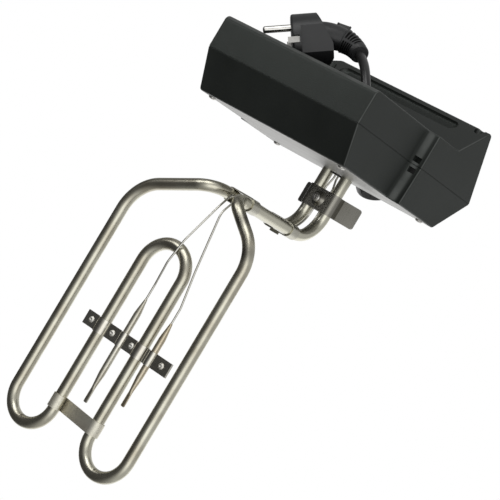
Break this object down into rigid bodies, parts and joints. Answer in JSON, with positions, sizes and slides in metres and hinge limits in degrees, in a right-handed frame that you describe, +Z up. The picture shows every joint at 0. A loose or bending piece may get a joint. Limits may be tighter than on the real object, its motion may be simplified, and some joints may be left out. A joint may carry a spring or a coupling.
{
  "type": "deep fryer heating head",
  "caption": "Lift-out heating head of a deep fryer: gable-topped control box with a knob, looped immersion tube, sensing bulbs on brackets, and a plugged lead stowed in its back.",
  "frame": {"origin": "centre of the flat bottom of the control box's rear half", "axes": "+Z up as the head hangs on its fryer, -Y out over the tank, +X to the right of someone facing the plate from behind the box"},
  "size_m": [0.1568, 0.3432, 0.1564],
  "materials": {
    "shell_plastic": "fine texture",
    "plate_steel": "satin",
    "screw_steel": "plain",
    "element_steel": "satin, heat-toned",
    "bush_steel": "turned",
    "bracket_steel": "pressed",
    "bulb_steel": "drawn",
    "bulb_brass": "drawn",
    "capillary_metal": "drawn",
    "capillary_brass": "drawn",
    "pin_metal": "nickel",
    "bead_ceramic": "glazed",
    "control_plastic": "moulded",
    "knob_plastic": "satin",
    "button_red": "plain",
    "lens_red": "clear",
    "lens_amber": "clear",
    "switch_plastic": "moulded",
    "block_plastic": "moulded",
    "grommet_rubber": "matte",
    "cord_rubber": "satin",
    "tie_plastic": "plain",
    "plug_plastic": "satin"
  },
  "bodies": {
    "head": {"bracket_rivets": "bracket_steel", "bulb_bracket_lower": "bracket_steel", "bulb_bracket_upper": "bracket_steel", "capillary_grommet": "grommet_rubber", "cord_coil": "cord_rubber", "cord_gland": "cord_rubber", "cord_tie": "tie_plastic", "cutout_body": "control_plastic", "cutout_bulb": "bulb_steel", "cutout_capillary": "capillary_metal", "element_bushes": "bush_steel", "front_plate": "plate_steel", "front_shell": "shell_plastic", "heating_element": "element_steel", "interlock_switch": "switch_plastic", "leg_strap": "bracket_steel", "mains_cord": "cord_rubber", "neck_clips": "bracket_steel", "plate_screws": "screw_steel", "plug_body": "plug_plastic", "plug_earth_clips": "pin_metal", "plug_pins": "pin_metal", "pocket_screws": "screw_steel", "power_lamp": "lens_red", "ramp_screws": "screw_steel", "ready_lamp": "lens_amber", "rear_shell": "shell_plastic", "rim_bar": "bracket_steel", "rim_saddle": "bracket_steel", "rim_screw": "screw_steel", "terminal_beads": "bead_ceramic", "terminal_block": "block_plastic", "terminal_pins": "pin_metal", "thermostat_body": "control_plastic", "thermostat_bulb": "bulb_brass", "thermostat_capillary": "capillary_brass"},
    "knob": {"control_knob": "knob_plastic", "thermostat_shaft": "pin_metal"},
    "reset": {"reset_button": "button_red"},
    "interlock": {"interlock_plunger": "switch_plastic"}
  },
  "joints": [
    {"name": "knob_turn", "type": "hinge", "parent": "head", "child": "knob", "pos_m": [-0.007, -0.0265, 0.139], "axis": [0, 0.6508, -0.7593], "range_deg": [0, 270]},
    {"name": "reset_press", "type": "slide", "parent": "head", "child": "reset", "axis": [0, 0.6508, -0.7593], "range_m": [0, 0.003], "stiffness_N_per_m": 400},
    {"name": "interlock_press", "type": "slide", "parent": "head", "child": "interlock", "axis": [0, 0, 1], "range_m": [0, 0.0025], "stiffness_N_per_m": 300}
  ]
}
